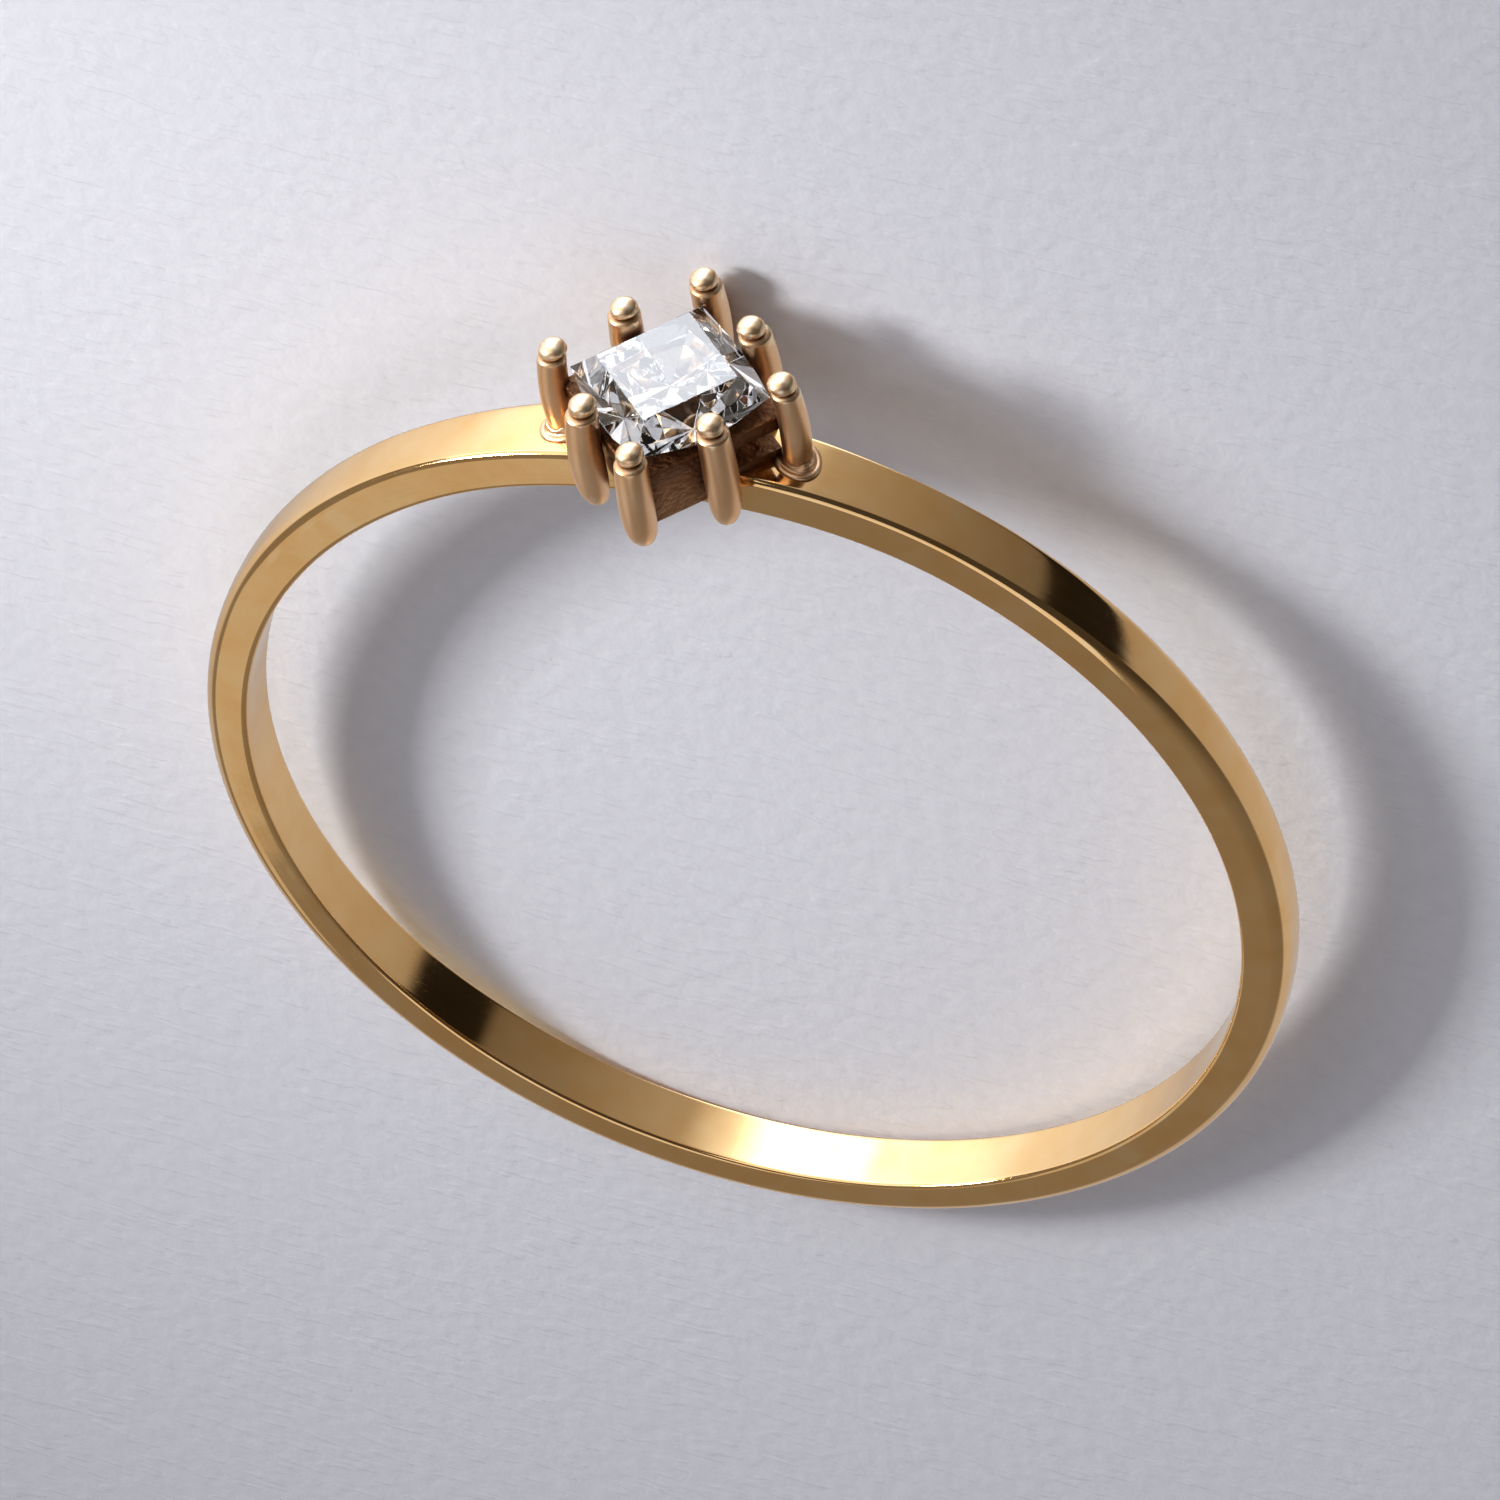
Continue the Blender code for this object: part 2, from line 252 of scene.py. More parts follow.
def newGroup(name, inputs, outputKind="NodeSocketFloat"):
    group = bpy.data.node_groups.new(name, "ShaderNodeTree")
    for label, value in inputs.items():
        socket = group.interface.new_socket(label, in_out="INPUT", socket_type="NodeSocketFloat")
        socket.default_value = value
    group.interface.new_socket("Result", in_out="OUTPUT", socket_type=outputKind)
    entry = group.nodes.new("NodeGroupInput")
    leave = group.nodes.new("NodeGroupOutput")
    return group, entry.outputs, leave.inputs["Result"]


def useGroup(tree, group, **inputs):
    return addNode(tree, "ShaderNodeGroup", inputs, node_tree=group).outputs["Result"]


# Coordinates that follow the ring: along the band, out from the axis, up
def makeAroundRing():
    group, entry, result = newGroup(
        "aroundRing", {"Along": 1.0, "Across": 1.0}, "NodeSocketVector"
    )
    moved = addNode(
        group, "ShaderNodeVectorMath", {0: millimetres(group), 1: ringCentre * perMetre},
        operation="SUBTRACT",
    )
    turned = addNode(
        group, "ShaderNodeVectorRotate",
        {"Vector": moved.outputs["Vector"], "Angle": -lean.to_euler().x}, rotation_type="X_AXIS",
    )
    x, y, z = addNode(group, "ShaderNodeSeparateXYZ", {"Vector": turned.outputs["Vector"]}).outputs
    along = maths(group, "MULTIPLY", maths(group, "ARCTAN2", x, y), outerRadius)
    square = maths(group, "MULTIPLY_ADD", y, y, maths(group, "MULTIPLY", x, x))
    whole = addNode(group, "ShaderNodeCombineXYZ", {
        "X": maths(group, "MULTIPLY", along, entry["Along"]),
        "Y": maths(group, "MULTIPLY", maths(group, "SQRT", square), entry["Across"]),
        "Z": maths(group, "MULTIPLY", z, entry["Across"]),
    })
    group.links.new(whole.outputs["Vector"], result)
    return group


def makePolishLines(aroundRing):
    group, entry, result = newGroup(
        "polishLines", {"Fineness": 26.0, "Length": 0.8, "Rarity": 0.6, "Softness": 0.16}
    )
    around = useGroup(group, aroundRing, Along=entry["Length"], Across=entry["Fineness"])
    top = maths(group, "ADD", entry["Rarity"], entry["Softness"])
    lines = noise(group, around, 1.0, 3.0)
    group.links.new(ranged(group, lines, entry["Rarity"], top), result)
    return group


def makeStrayScratches():
    group, entry, result = newGroup("strayScratches", {
        "Fineness": 22.0, "Length": 1.1, "Turn": 0.6, "Rarity": 0.66, "Softness": 0.05,
    })
    turned = addNode(
        group, "ShaderNodeVectorRotate",
        {"Vector": millimetres(group), "Axis": (0.35, 0.5, 0.79), "Angle": entry["Turn"]},
        rotation_type="AXIS_ANGLE",
    )
    size = addNode(
        group, "ShaderNodeCombineXYZ",
        {"X": entry["Length"], "Y": entry["Fineness"], "Z": entry["Fineness"]},
    )
    drawn = addNode(
        group, "ShaderNodeVectorMath",
        {0: turned.outputs["Vector"], 1: size.outputs["Vector"]}, operation="MULTIPLY",
    )
    top = maths(group, "ADD", entry["Rarity"], entry["Softness"])
    lines = noise(group, drawn.outputs["Vector"], 1.0, 1.0)
    group.links.new(ranged(group, lines, entry["Rarity"], top), result)
    return group


def makeCloudiness():
    group, entry, result = newGroup(
        "cloudiness", {"Fineness": 1.0, "Detail": 3.0, "Low": 0.35, "High": 0.65}
    )
    cloud = noise(group, millimetres(group), entry["Fineness"], entry["Detail"])
    group.links.new(ranged(group, cloud, entry["Low"], entry["High"]), result)
    return group


# Lighter colour on sharp edges and rounded tips: rubbed wear, and partly a painted highlight,
# strongest on the satin claws' ball tips
def makeWornEdgesAndSheen():
    group, entry, result = newGroup("wornEdges", {"Start": 0.52, "Full": 0.62})
    sharpness = addNode(group, "ShaderNodeNewGeometry").outputs["Pointiness"]
    group.links.new(ranged(group, sharpness, entry["Start"], entry["Full"]), result)
    return group


# Painted shade: a mask from ambient occlusion that darkens the colour in creases, recesses and
# between parts, where shade falls
def makePaintedRecessShade():
    group, entry, result = newGroup("paintedRecessShade", {"Reach": 0.25, "Strength": 1.0})
    reach = maths(group, "MULTIPLY", entry["Reach"], 1 / perMetre)
    shade = addNode(group, "ShaderNodeAmbientOcclusion", {"Distance": reach}, samples=8)
    closed = maths(group, "SUBTRACT", 1.0, shade.outputs["AO"])
    group.links.new(maths(group, "MULTIPLY", closed, entry["Strength"], clamp=True), result)
    return group


effects = {
    "lines": makePolishLines(makeAroundRing()),
    "scratches": makeStrayScratches(),
    "clouds": makeCloudiness(),
    "edges": makeWornEdgesAndSheen(),
    "paintedRecessShade": makePaintedRecessShade(),
}
print("effects built")


# Finishes

goldFinish = {
    "mirrorGold": {
        "colour": (0.9, 0.595, 0.27), "warm": (0.86, 0.52, 0.2), "worn": (0.91, 0.62, 0.3),
        "paintedRecessShade": (0.4, 0.17, 0.05), "paintedShadeReach": 0.2, "paintedShadeStrength": 0.9,
        "roughness": (0.05, 0.12), "waveHeight": 0.003, "waveFineness": 0.9,
        "grainHeight": 0.00008, "grainFineness": 28.0,
        "scratchHeight": 0.00015, "scratchRough": 0.06,
    },
    "satinGold": {
        "colour": (0.9, 0.6, 0.35), "warm": (0.86, 0.52, 0.27), "worn": (0.95, 0.79, 0.53),
        "paintedRecessShade": (0.16, 0.05, 0.014), "paintedShadeReach": 0.16, "paintedShadeStrength": 1.7,
        "roughness": (0.3, 0.38), "waveHeight": 0.004, "waveFineness": 1.8,
        "grainHeight": 0.00012, "grainFineness": 20.0,
        "scratchHeight": 0.0003, "scratchRough": 0.08,
    },
    # Basket gold: its dark brown colours are painted shade, as the rail and wall lie in shade under
    # the stone; the grain and roughness are the rough cast finish
    "castGoldPaintedShade": {
        "colour": (0.23, 0.11, 0.048), "warm": (0.095, 0.037, 0.015), "worn": (0.3, 0.155, 0.072),
        "paintedRecessShade": (0.1, 0.035, 0.012), "paintedShadeReach": 0.3, "paintedShadeStrength": 1.2,
        "roughness": (0.3, 0.48), "waveHeight": 0.045, "waveFineness": 5.0,
        "grainHeight": 0.055, "grainFineness": 12.0,
        "scratchHeight": 0.0, "scratchRough": 0.0,
    },
}


def newMaterial(name):
    material = bpy.data.materials.new(name)
    material.use_nodes = True
    return material, material.node_tree, material.node_tree.nodes["Principled BSDF"]


def makeGold(name):
    look = goldFinish[name]
    material, tree, shader = newMaterial(name)
    shader.inputs["Metallic"].default_value = 1.0
    clouds, scratches = effects["clouds"], effects["scratches"]
    # Painted shade in creases and recesses, mixed into the colour below
    paintedRecessShade = useGroup(
        tree, effects["paintedRecessShade"], Reach=look["paintedShadeReach"], Strength=look["paintedShadeStrength"]
    )
    lines = useGroup(tree, effects["lines"], Fineness=24.0, Length=0.7, Rarity=0.5)
    long = useGroup(tree, scratches, Fineness=20.0, Length=1.0, Turn=0.7, Rarity=0.69)
    short = useGroup(tree, scratches, Fineness=26.0, Length=1.6, Turn=2.1, Rarity=0.7)
    marks = maths(tree, "MULTIPLY_ADD", lines, 0.5, maths(tree, "MAXIMUM", long, short))

    patches = useGroup(tree, clouds, Fineness=1.3, Detail=4.0, Low=0.35, High=0.7)
    edges = useGroup(tree, effects["edges"], Start=0.53, Full=0.64)
    colour = mixColour(tree, patches, (*look["colour"], 1), (*look["warm"], 1))
    # Sharp edges and tips take a lighter colour: wear, and partly a painted highlight
    colour = mixColour(tree, edges, colour, (*look["worn"], 1))
    colour = mixColour(tree, paintedRecessShade, colour, (*look["paintedRecessShade"], 1))
    tree.links.new(colour, shader.inputs["Base Color"])

    smear = useGroup(tree, clouds, Fineness=0.8, Detail=5.0, Low=0.3, High=0.75)
    low, high = look["roughness"]
    rough = ranged(tree, smear, toMin=low, toMax=high)
    rough = maths(tree, "MULTIPLY_ADD", marks, look["scratchRough"], rough)
    rough = maths(tree, "MULTIPLY_ADD", paintedRecessShade, 0.25, rough)
    tree.links.new(rough, shader.inputs["Roughness"])

    waves = useGroup(
        tree, clouds, Fineness=look["waveFineness"], Detail=1.0, Low=0.0, High=1.0
    )
    grain = useGroup(
        tree, clouds, Fineness=look["grainFineness"], Detail=3.0, Low=0.0, High=1.0
    )
    normal = bumped(tree, waves, look["waveHeight"])
    normal = bumped(tree, grain, look["grainHeight"], normal)
    if look["scratchHeight"]:
        cut = maths(tree, "SUBTRACT", 1.0, marks)
        normal = bumped(tree, cut, look["scratchHeight"], normal)
    tree.links.new(normal, shader.inputs["Normal"])
    return material


stoneFinish = {
    "colour": (0.97, 0.972, 0.945),
    "mirrored": (1, 0.955, 0.86),  # tint of what its faces mirror
    "bending": 2.42,
    "film": 0.025,  # roughness where a film lies on it
}


def makeStoneMaterial():
    material, tree, shader = newMaterial("clearStone")
    shader.inputs["Base Color"].default_value = (*stoneFinish["colour"], 1)
    shader.inputs["Transmission Weight"].default_value = 1.0
    shader.inputs["Specular Tint"].default_value = (*stoneFinish["mirrored"], 1)
    shader.inputs["IOR"].default_value = stoneFinish["bending"]
    film = useGroup(tree, effects["clouds"], Fineness=1.6, Detail=4.0, Low=0.4, High=0.75)
    tree.links.new(ranged(tree, film, toMax=stoneFinish["film"]), shader.inputs["Roughness"])
    return material


gold = {name: makeGold(name) for name in goldFinish}
clearStone = makeStoneMaterial()
print("finishes built")


# Band

# The rounded edges start where the crown has the same slope
def sectionOf(edge, width):
    half = width / 2 - bandSize["polish"]
    slope = math.atan2(2 * bandSize["crown"], half - edge)
    top = outerRadius - bandSize["polish"] - bandSize["crown"]
    return {
        "half": half, "edge": edge, "slope": slope,
        "crownHalf": half - edge * (1 - math.sin(slope)),
        "out": top - edge * math.cos(slope), "up": half - edge,
    }


def easedShare(along, start, end):
    return math.sin(min(max((along - start) / (end - start), 0), 1) * math.pi / 2) ** 2


def plainProfile(plain):
    small, margin, steps = bandSize["innerEdge"], bandSize["margin"], bandSize["crownSteps"]
    tilt = math.degrees(plain["slope"])
    top = outerRadius - bandSize["polish"]
    innerOut = bandSize["fingerRadius"] + small
    innerUp = plain["half"] - small
    profile = arcPoints((innerOut, -innerUp), small, 180, 270, bandSize["innerSteps"])
    profile += [(innerOut + margin, -plain["half"]), (plain["out"] - margin, -plain["half"])]
    profile += arcPoints(
        (plain["out"], -plain["up"]), plain["edge"], -90, -tilt, bandSize["outerSteps"]
    )
    for step in range(1 - steps, steps):
        share = step / steps
        profile.append((top - bandSize["crown"] * share**2, plain["crownHalf"] * share))
    profile += arcPoints(
        (plain["out"], plain["up"]), plain["edge"], tilt, 90, bandSize["outerSteps"]
    )
    profile += [(plain["out"] - margin, plain["half"]), (innerOut + margin, plain["half"])]
    profile += arcPoints((innerOut, innerUp), small, 90, 180, bandSize["innerSteps"])
    innerFlat = innerUp - margin
    return profile + [
        (bandSize["fingerRadius"], innerFlat), (bandSize["fingerRadius"], -innerFlat)
    ]


def makeBand():
    near = 1e-4
    plain = sectionOf(bandSize["shoulderEdge"], bandSize["width"])
    top = outerRadius - bandSize["polish"]
    bm = spunShape(plainProfile(plain), bandSize["turns"], closed=True)
    # Each section takes its own width and edge radius from its distance to the setting
    for vert in bm.verts:
        along = abs(math.atan2(vert.co.x, -vert.co.y)) * outerRadius
        flare = 1 - easedShare(along, 0, bandSize["shoulderReach"])
        rounding = easedShare(along, bandSize["crispReach"], bandSize["roundReach"])
        here = sectionOf(
            bandSize["shoulderEdge"] + (bandSize["backEdge"] - bandSize["shoulderEdge"]) * rounding,
            bandSize["width"] + (bandSize["shoulderWidth"] - bandSize["width"]) * flare,
        )
        out, up = math.hypot(vert.co.x, vert.co.y), abs(vert.co.z)
        if out > plain["out"] and up < plain["crownHalf"] - near:
            share = up / plain["crownHalf"]
            newOut, newUp = top - bandSize["crown"] * share**2, share * here["crownHalf"]
        elif out > plain["out"] - near:
            turn = math.pi / 2 - math.atan2(up - plain["up"], out - plain["out"])
            turn *= (math.pi / 2 - here["slope"]) / (math.pi / 2 - plain["slope"])
            newOut = here["out"] + here["edge"] * math.sin(turn)
            newUp = here["up"] + here["edge"] * math.cos(turn)
        else:
            newOut = min(out, here["out"] - bandSize["margin"])
            newUp = here["half"] - (plain["half"] - up)
        newUp = math.copysign(newUp, vert.co.z)
        vert.co = (vert.co.x * newOut / out, vert.co.y * newOut / out, newUp)
    finishGold(objectFrom(bm, "polishedBand"), gold["mirrorGold"])


makeBand()
print("band made")


# Stone, ground facet by facet from a block

# Each facet as its turn around the stone, its slope and its distance from the middle
def stoneFacets():
    rim = stoneSize["girdle"] / 2
    rise = stoneSize["crown"] - rim
    side = math.atan2(rise, (stoneSize["side"] - stoneSize["table"]) / 2)
    corner = math.radians(stoneSize["cornerAngle"])
    main = math.atan2(stoneSize["pavilion"] - rim, halfSide)
    lower = main * stoneSize["lowerStep"]
    chevron = math.radians(stoneSize["chevronTurn"])
    sideReach = halfSide * math.sin(side) + rim * math.cos(side)
    cornerReach = halfDiagonal * math.sin(corner) + rim * math.cos(corner)
    lowerReach = halfSide * math.sin(lower) + rim * math.cos(lower)
    facets = [(0, 0, stoneSize["crown"])]
    for quarter in range(4):
        toSide, toCorner = math.radians(45 + 90 * quarter), math.radians(90 * quarter)
        facets.append((toSide, math.pi / 2, halfSide))
        facets.append((toSide, side, sideReach))
        facets.append((toCorner, corner, cornerReach))
        for turn in (toSide - chevron, toSide + chevron):
            facets.append((turn, math.pi - main, stoneSize["pavilion"] * math.cos(main)))
        facets.append((toSide, math.pi - lower, lowerReach))
    return facets


def cutStoneShape(gap):
    bm = bmesh.new()
    bmesh.ops.create_cube(bm, size=stoneSize["block"])
    for turn, slope, reach in stoneFacets():
        flat = math.sin(slope)
        outward = Vector((flat * math.cos(turn), flat * math.sin(turn), math.cos(slope)))
        cut = bmesh.ops.bisect_plane(
            bm, geom=bm.verts[:] + bm.edges[:] + bm.faces[:], dist=1e-6,
            plane_co=outward * (reach + gap), plane_no=outward, clear_outer=True,
        )
        rim = [item for item in cut["geom_cut"] if isinstance(item, bmesh.types.BMEdge)]
        if rim:
            bmesh.ops.contextual_create(bm, geom=rim)
    bmesh.ops.translate(bm, vec=(0, 0, girdleLevel), verts=bm.verts[:])
    bmesh.ops.transform(bm, matrix=toSetting, verts=bm.verts[:])
    return bm


def makeStone():
    bm = cutStoneShape(0)
    bmesh.ops.bevel(
        bm, geom=bm.edges[:], offset=stoneSize["edge"], segments=1, profile=0.5,
        affect="EDGES", material=-1,
    )
    stone = objectFrom(bm, "cutStone")
    finishPiece(stone, clearStone, "square_stone", smooth=False)


makeStone()
seatCutter = objectFrom(cutStoneShape(stoneSize["gap"]), "seatCutter")
print("stone cut")


# Basket under the stone

basketSize = {
    "proud": 0.05,  # top of the wall outside the girdle
    "draft": 0.12,
    "seatDrop": 0.2,
    "railDepth": 0.32,
    "wallTop": 0.1,  # top of the wall below the top of the rail
    "wallInset": 0.03,
    "footInset": 0.35,
    "windowRise": 0.06,
    "windowHeight": 0.5,
    "windowWidth": 1.5,
    "windowRound": 0.1,
    "windowLength": 6.0,
    "edge": 0.035,
    "railSegments": 3,
    "wallSegments": 2,
}
basketTop = girdleLevel - basketSize["seatDrop"]
basketFoot = outerRadius - basketSize["footInset"]


def taperedSquare(low, high, inset):
    def reachAt(level):
        draft = basketSize["draft"] * (basketTop - level) / (basketTop - basketFoot)
        return (halfSide + basketSize["proud"] - draft - inset) * math.sqrt(2)

    bm = bmesh.new()
    bmesh.ops.create_cone(
        bm, cap_ends=True, segments=4, radius1=reachAt(low), radius2=reachAt(high), depth=high - low
    )
    bmesh.ops.translate(bm, vec=(0, 0, (low + high) / 2), verts=bm.verts[:])
    bmesh.ops.transform(bm, matrix=toSetting, verts=bm.verts[:])
    return bm


def makeWindowCutter():
    bm = bmesh.new()
    bmesh.ops.create_cube(bm, size=1)
    size = [basketSize[key] for key in ("windowLength", "windowWidth", "windowHeight")]
    bmesh.ops.scale(bm, vec=size, verts=bm.verts[:])
    lengthwise = [e for e in bm.edges if abs(e.verts[0].co.x - e.verts[1].co.x) > 1]
    bmesh.ops.bevel(
        bm, geom=lengthwise, offset=basketSize["windowRound"], segments=4, profile=0.5,
        affect="EDGES", material=-1,
    )
    middle = outerRadius + basketSize["windowRise"] + basketSize["windowHeight"] / 2
    bmesh.ops.translate(bm, vec=(0, 0, middle), verts=bm.verts[:])
    bmesh.ops.transform(bm, matrix=toSetting, verts=bm.verts[:])
    return objectFrom(bm, "windowCutter")


def makeBasket():
    rail = objectFrom(taperedSquare(basketTop - basketSize["railDepth"], basketTop, 0), "seatRail")
    cutAway(rail, seatCutter)
    softenEdges(rail, basketSize["edge"], basketSize["railSegments"])
    # The rail and the wall take the basket gold, whose colour holds painted shade
    finishGold(rail, gold["castGoldPaintedShade"])

    wallTop = basketTop - basketSize["wallTop"]
    wall = objectFrom(taperedSquare(basketFoot, wallTop, basketSize["wallInset"]), "basketWall")
    windowCutter = makeWindowCutter()
    cutAway(wall, windowCutter)
    cutAway(wall, seatCutter)
    softenEdges(wall, basketSize["edge"], basketSize["wallSegments"])
    finishGold(wall, gold["castGoldPaintedShade"])
    bpy.data.objects.remove(windowCutter)


makeBasket()
print("basket made")


# Claws

clawSize = {
    "body": 0.286,  # radii
    "shoulderBody": 0.25,
    "tip": 0.23,
    "dome": 0.157,
    "domeStep": 15,
    "tipRise": 0.5,
    "bow": 0.1,
    "bowFullness": 0.6,
    "cornerOutset": 0.095,
    "sideOutset": 0.22,
    "cornerFoot": 0.45,
    "sideFoot": 0.65,
    "sides": 40,
    # Shares of the claw's length and of its body's radius, from the foot up
    "bodyLine": [
        (0.0, 0.0), (0.004, 0.22), (0.016, 0.42), (0.045, 0.6), (0.11, 0.79), (0.22, 0.93),
        (0.4, 1.0), (0.6, 1.0), (0.8, 0.965),
    ],
    # Heights from the tip's widest point, with shares of the body's radius, then of the tip's
    "shoulderLine": [(-0.21, 0.95), (-0.175, 0.92), (-0.147, 0.83), (-0.128, 0.68), (-0.117, 0.56)],
    "creaseLine": [(-0.105, 0.66), (-0.09, 0.79), (-0.066, 0.91), (-0.033, 0.98)],
}


def makeClaw(name, turn, reach, footLevel, radius):
    tip, dome = clawSize["tip"], clawSize["dome"]
    tipLevel = girdleLevel + clawSize["tipRise"]
    length = tipLevel - footLevel
    profile = [(radius * width, footLevel + length * s) for s, width in clawSize["bodyLine"]]
    profile += [(radius * width, tipLevel + drop) for drop, width in clawSize["shoulderLine"]]
    profile += [(tip * width, tipLevel + drop) for drop, width in clawSize["creaseLine"]]
    for degrees in range(0, 91, clawSize["domeStep"]):
        a = math.radians(degrees)
        profile.append((tip * math.cos(a), tipLevel + dome * math.sin(a)))
    bm = spunShape(smoothLine(profile), clawSize["sides"], closed=False)
    for vert in bm.verts:
        share = min(max((vert.co.z - footLevel) / length, 0), 1)
        bow = math.sin(math.pi * share) ** clawSize["bowFullness"]
        vert.co.x += reach + clawSize["bow"] * bow
    bmesh.ops.transform(
        bm, matrix=toSetting @ Matrix.Rotation(turn, 4, "Z"), verts=bm.verts[:]
    )
    claw = objectFrom(bm, name)
    cutAway(claw, seatCutter)
    finishGold(claw, gold["satinGold"])


for quarter in range(4):
    makeClaw(
        f"cornerClaw{quarter + 1}", math.radians(90 * quarter),
        halfDiagonal + clawSize["cornerOutset"], outerRadius - clawSize["cornerFoot"],
        clawSize["body" if quarter % 2 else "shoulderBody"],
    )
    makeClaw(
        f"sideClaw{quarter + 1}", math.radians(45 + 90 * quarter),
        halfSide + clawSize["sideOutset"], outerRadius - clawSize["sideFoot"], clawSize["body"],
    )
print("claws made")


# Solder collars where the two shoulder claws stand on the band

collarSize = {
    "outset": 0.07,  # beyond the middle of the claw's foot
    "swells": 3,  # the bead of solder ran a little unevenly
    "swellTurn": 0.7,
    "swell": (0.04, 0.05, 0.25),
    # Radius and height of half the section, from its middle over its lip and down
    "line": [
        (0.0, 0.15), (0.2, 0.15), (0.25, 0.12), (0.266, 0.07), (0.295, 0.042), (0.335, 0.044),
        (0.37, 0.03), (0.386, 0.0), (0.38, -0.035), (0.34, -0.06), (0.0, -0.06),
    ],
}


def makeCollar(name, turn):
    reach = halfDiagonal + clawSize["cornerOutset"] + collarSize["outset"]
    surface = math.sqrt(outerRadius**2 - reach**2)
    bm = spunShape(smoothLine(collarSize["line"]), clawSize["sides"], closed=False)
    for vert in bm.verts:
        around = collarSize["swells"] * math.atan2(vert.co.y, vert.co.x)
        swell = math.sin(around + turn + collarSize["swellTurn"])
        vert.co = [part * (1 + most * swell) for part, most in zip(vert.co, collarSize["swell"])]
    tilt = Matrix.Rotation(math.asin(reach / outerRadius), 3, "Y")
    bmesh.ops.rotate(bm, cent=(0, 0, 0), matrix=tilt, verts=bm.verts[:])
    bmesh.ops.translate(bm, vec=(reach, 0, surface), verts=bm.verts[:])
    bmesh.ops.transform(
        bm, matrix=toSetting @ Matrix.Rotation(turn, 4, "Z"), verts=bm.verts[:]
    )
    finishGold(objectFrom(bm, name), gold["satinGold"])


makeCollar("solderCollar1", 0)
makeCollar("solderCollar2", math.pi)
bpy.data.objects.remove(seatCutter)
print("collars made")


# Camera, at the photograph's angle to the ring

cameraView = {
    "away": 21.29,  # from the setting's side, around the ring's axis
    "above": 37.31,  # above the ring's own plane
    "roll": 22.37,
    "distance": 250.0,
    "frame": 24.5,  # width of the view at the ring
    "sensor": 36.0,
    "clip": (10.0, 5000.0),
}


def makeCamera():
    away, above, roll = (math.radians(cameraView[key]) for key in ("away", "above", "roll"))
    towards = Vector((-math.sin(away), -math.cos(away), 0))
    axis = Vector((0, 0, 1))
    level = towards.cross(axis)
    back = math.cos(above) * towards + math.sin(above) * axis
    down = math.sin(above) * towards - math.cos(above) * axis
    right = math.sin(roll) * down + math.cos(roll) * level
    up = math.cos(roll) * down - math.sin(roll) * level
    turn = lean.to_3x3() @ Matrix((right, up, back)).transposed()
    right, up, back = turn.col
    points = [vert.co for node in frame["nodes"].values() for vert in node.data.vertices]
    place = back * (ringCentre.dot(back) + cameraView["distance"] / perMetre)
    for direction in (right, up):
        spread = [direction.dot(point) for point in points]
        place += direction * (min(spread) + max(spread)) / 2
    data = bpy.data.cameras.new("photoAngle")
    data.sensor_width = cameraView["sensor"]
    data.lens = cameraView["sensor"] * cameraView["distance"] / cameraView["frame"]
    data.clip_start, data.clip_end = (reach / perMetre for reach in cameraView["clip"])
    camera = bpy.data.objects.new("photoAngle", data)
    camera.matrix_world = Matrix.Translation(place) @ turn.to_4x4()
    bpy.context.scene.collection.objects.link(camera)
    bpy.context.scene.camera = camera


makeCamera()


# Floor

floorLook = {
    "reach": 600.0,
    "colour": (0.7, 0.72, 0.79),
    "fibres": (0.67, 0.69, 0.765),
    "roughness": 0.7,
    "fibreHeight": 0.008,
    "fleckHeight": 0.004,
}


def makeFloor():
    material, tree, shader = newMaterial("paleCard")
    fibres = useGroup(tree, effects["clouds"], Fineness=3.0, Detail=3.0, Low=0.3, High=0.7)
    flecks = useGroup(
        tree, effects["scratches"], Fineness=6.0, Length=0.7, Turn=0.3, Rarity=0.58
    )
    colour = mixColour(tree, fibres, (*floorLook["colour"], 1), (*floorLook["fibres"], 1))
    tree.links.new(colour, shader.inputs["Base Color"])
    shader.inputs["Roughness"].default_value = floorLook["roughness"]
    normal = bumped(tree, fibres, floorLook["fibreHeight"])
    normal = bumped(tree, flecks, floorLook["fleckHeight"], normal)
    tree.links.new(normal, shader.inputs["Normal"])
    bm = bmesh.new()
    bmesh.ops.create_grid(bm, x_segments=1, y_segments=1, size=floorLook["reach"] / perMetre)
    mesh = bpy.data.meshes.new("paleFloor")
    bm.to_mesh(mesh)
    bm.free()
    mesh.materials.append(material)
    floor = bpy.data.objects.new("paleFloor", mesh)
    floor.visible_glossy = False  # the metal mirrors the surroundings, as on a light table
    bpy.context.scene.collection.objects.link(floor)


makeFloor()


# Lights

lights = {
    "windowLight": {
        "at": (66, -38, 46), "aim": (2, -5, 0), "size": 19, "radiance": 7.4, "spread": 60,
        "colour": (1, 0.98, 0.95),
    },
    "frontPanel": {
        "at": (110, -170, 70), "aim": (0, 0, 0), "size": 240, "radiance": 1.3, "spread": 180,
        "colour": (0.94, 0.95, 1),
    },
    "backPanel": {
        "at": (46, 42, 40), "aim": (0, 0, 0), "size": 46, "radiance": 0.34, "spread": 180,
        "colour": (1, 0.98, 0.96),
    },
    "topPanel": {
        "at": (-26, 26, 260), "aim": (0, 0, 0), "size": 200, "radiance": 0.8, "spread": 180,
        "colour": (0.86, 0.88, 1),
    },
}


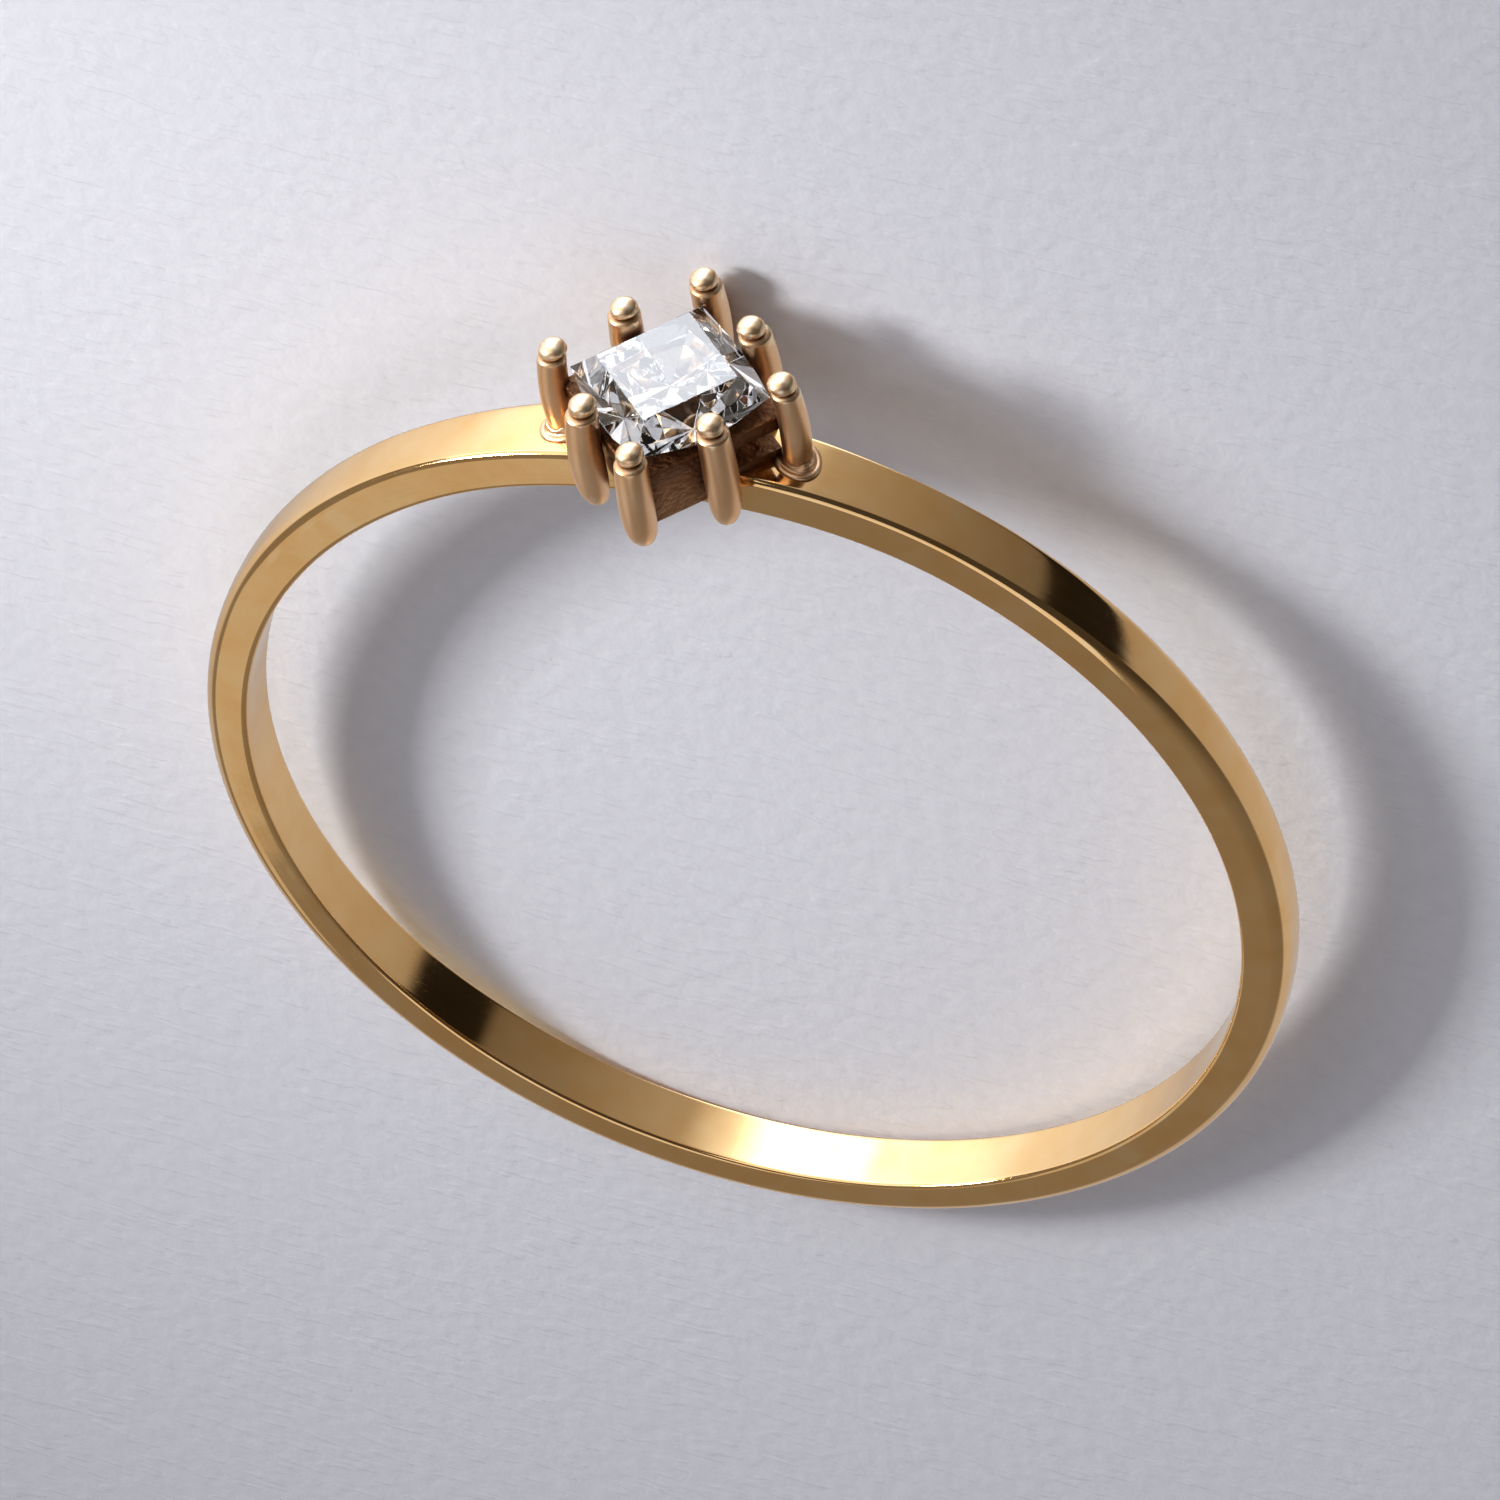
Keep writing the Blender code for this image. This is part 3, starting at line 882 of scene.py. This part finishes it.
def makeLight(name, spec):
    data = bpy.data.lights.new(name, "AREA")
    data.size = spec["size"] / perMetre
    data.energy = spec["radiance"] * math.pi * data.size**2
    data.color = spec["colour"]
    data.spread = math.radians(spec["spread"])
    lamp = bpy.data.objects.new(name, data)
    place = Vector(spec["at"]) / perMetre
    turn = (place - Vector(spec["aim"]) / perMetre).to_track_quat("Z", "Y")
    lamp.matrix_world = Matrix.Translation(place) @ turn.to_matrix().to_4x4()
    lamp.visible_camera = False
    bpy.context.scene.collection.objects.link(lamp)


for name, spec in lights.items():
    makeLight(name, spec)


# Surroundings, which the polished metal mirrors

surroundings = {
    # Brightness by compass angle, from the front towards the right
    "below": [
        (-180, 0.5), (-128, 0.55), (-104, 0.8), (-70, 1.1), (-56, 1.6), (-34, 2.1), (-30, 3.7),
        (-10, 3.7), (-2, 1.2), (8, 0.45), (36, 0.25), (54, 0.18), (56, 0.015), (74, 0.015),
        (77, 0.42), (100, 0.5), (140, 0.6), (180, 0.5),
    ],
    "above": [
        (-180, 0.26), (-110, 0.26), (-60, 0.2), (-20, 0.14), (0, 0.06), (85, 0.06), (120, 0.2),
        (180, 0.26),
    ],
    "brightest": 3.7,
    "horizon": 0.06,  # half the height of the change from one to the other
    # The dim parts of the room are warm and the bright ones cool: the share of green and of blue
    # in the dark, and what each gains with brightness, up to the coolest
    "coolTint": [(0.86, 0.17), (0.74, 0.42)],
    "coolest": 1.3,
}


def tintedLight(brightness):
    cool = min(brightness, surroundings["coolest"])
    green, blue = (least + more * cool for least, more in surroundings["coolTint"])
    strength = brightness / surroundings["brightest"]
    return strength, strength * green, strength * blue, 1


def brightnessAround(tree, share, stops):
    ramp = addNode(tree, "ShaderNodeValToRGB", {"Fac": share})
    elements = ramp.color_ramp.elements
    elements[0].color = tintedLight(stops[0][1])
    elements[-1].color = tintedLight(stops[-1][1])
    for degrees, brightness in stops[1:-1]:
        elements.new((degrees + 180) / 360).color = tintedLight(brightness)
    return ramp.outputs["Color"]


def makeSurroundings():
    world = bpy.data.worlds.new("studio")
    world.use_nodes = True
    world.cycles.sampling_method = "NONE"
    tree = world.node_tree
    place = addNode(tree, "ShaderNodeTexCoord").outputs["Generated"]
    x, y, z = addNode(tree, "ShaderNodeSeparateXYZ", {"Vector": place}).outputs
    rightwards, forwards = maths(tree, "MULTIPLY", x, -1.0), maths(tree, "MULTIPLY", y, -1.0)
    angle = maths(tree, "ARCTAN2", rightwards, forwards)
    share = ranged(tree, angle, -math.pi, math.pi)
    level = ranged(tree, z, -surroundings["horizon"], surroundings["horizon"])
    below, above = (brightnessAround(tree, share, surroundings[key]) for key in ("below", "above"))
    background = tree.nodes["Background"]
    tree.links.new(mixColour(tree, level, below, above), background.inputs["Color"])
    background.inputs["Strength"].default_value = surroundings["brightest"]
    bpy.context.scene.world = world


makeSurroundings()
bpy.context.scene.view_settings.view_transform = "Standard"
stoneBounces = 16  # light goes round many times in the stone before it leaves
cycles = bpy.context.scene.cycles
cycles.max_bounces = cycles.glossy_bounces = cycles.transmission_bounces = stoneBounces
print("stage set")
